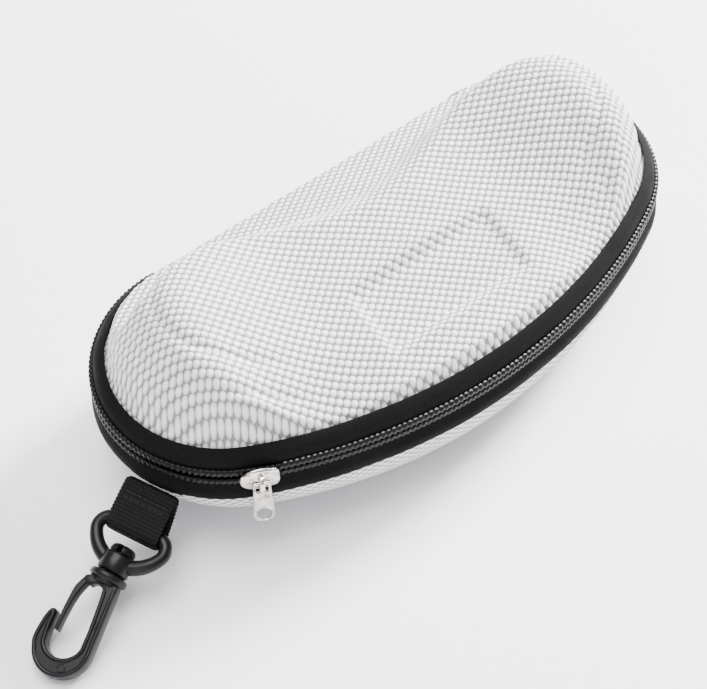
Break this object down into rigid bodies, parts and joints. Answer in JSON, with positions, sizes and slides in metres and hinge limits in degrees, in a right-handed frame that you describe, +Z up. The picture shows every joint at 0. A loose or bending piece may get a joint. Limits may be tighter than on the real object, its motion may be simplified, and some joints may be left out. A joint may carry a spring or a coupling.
{
  "type": "zip-round eyewear case with swivel clip",
  "caption": "Moulded hard eyewear case, D-shaped, zipped round the ends and front with a fabric hinge at the back and a swivel snap hook on a webbing loop.",
  "frame": {"origin": "on the flat foot of the case, where it rests, under the middle of the zip outline's ends", "axes": "+X along the case towards the end without the clip, +Y towards the fabric hinge, +Z up out of the closed lid"},
  "size_m": [0.2083, 0.0801, 0.0581],
  "materials": {
    "case_fabric": "coarse silver-white plain weave, slightly glossy yarn",
    "eva_foam": "moulded foam board, matte",
    "lining_knit": "fine black knit",
    "binding_tape": "black ribbed binding tape",
    "zip_tape": "black woven tape, matte",
    "zip_coil": "black nylon coil, slightly glossy",
    "zip_metal": "bright nickel plate",
    "webbing": "black ribbed polypropylene webbing",
    "thread": "black sewing thread",
    "clip_plastic": "black moulded acetal, semi-gloss"
  },
  "bodies": {
    "base": {"bottom_outer_fabric": "case_fabric", "bottom_eva_core": "eva_foam", "bottom_lining": "lining_knit", "bottom_rim_binding": "binding_tape", "lower_zipper_tape": "zip_tape", "lower_coil_row": "zip_coil", "hinge_lower_leaf": "zip_tape", "zip_start_tab": "zip_tape", "zip_end_tab": "zip_tape", "webbing_tail": "webbing"},
    "lid": {"top_outer_fabric": "case_fabric", "top_eva_core": "eva_foam", "top_lining": "lining_knit", "top_rim_binding": "binding_tape", "upper_zipper_tape": "zip_tape", "upper_coil_row": "zip_coil", "hinge_upper_leaf": "zip_tape"},
    "slider": {"slider_body": "zip_metal", "slider_bridge": "zip_metal"},
    "pull": {"pull_tab": "zip_metal"},
    "strap": {"webbing_loop": "webbing", "webbing_stitching": "thread"},
    "ring": {"swivel_ring": "clip_plastic"},
    "hook": {"snap_hook": "clip_plastic"},
    "gate": {"hook_gate": "clip_plastic"}
  },
  "joints": [
    {"name": "lid_open", "type": "hinge", "parent": "base", "child": "lid", "pos_m": [0, 0.0336, 0.028], "axis": [-1, 0, 0], "range_deg": [0, 120]},
    {"name": "slider_travel", "type": "hinge", "parent": "base", "child": "slider", "pos_m": [0, 0.09542, 0.028], "axis": [0, 0, 1], "range_deg": [-0.4, 52.4]},
    {"name": "pull_swing", "type": "hinge", "parent": "slider", "child": "pull", "pos_m": [-0.06359, -0.03268, 0.028], "axis": [-0.8957, 0.4446, 0], "range_deg": [0, 150]},
    {"name": "strap_flop", "type": "hinge", "parent": "base", "child": "strap", "pos_m": [-0.08191, -0.01334, 0.0192], "axis": [-0.3746, 0.9272, 0], "range_deg": [-15, 50], "stiffness_Nm_per_rad": 0.02},
    {"name": "ring_swing", "type": "hinge", "parent": "strap", "child": "ring", "pos_m": [-0.08868, -0.01607, 0.0134], "axis": [-0.3746, 0.9272, 0], "range_deg": [-20, 75]},
    {"name": "hook_swivel", "type": "hinge", "parent": "ring", "child": "hook", "pos_m": [-0.08868, -0.01607, 0.0134], "axis": [-0.8899, -0.3595, -0.2807], "continuous": true},
    {"name": "gate_flex", "type": "hinge", "parent": "hook", "child": "gate", "pos_m": [-0.10406, -0.01797, 0.00902], "axis": [-0.2602, -0.1051, 0.9598], "range_deg": [0, 20], "stiffness_Nm_per_rad": 0.02}
  ]
}
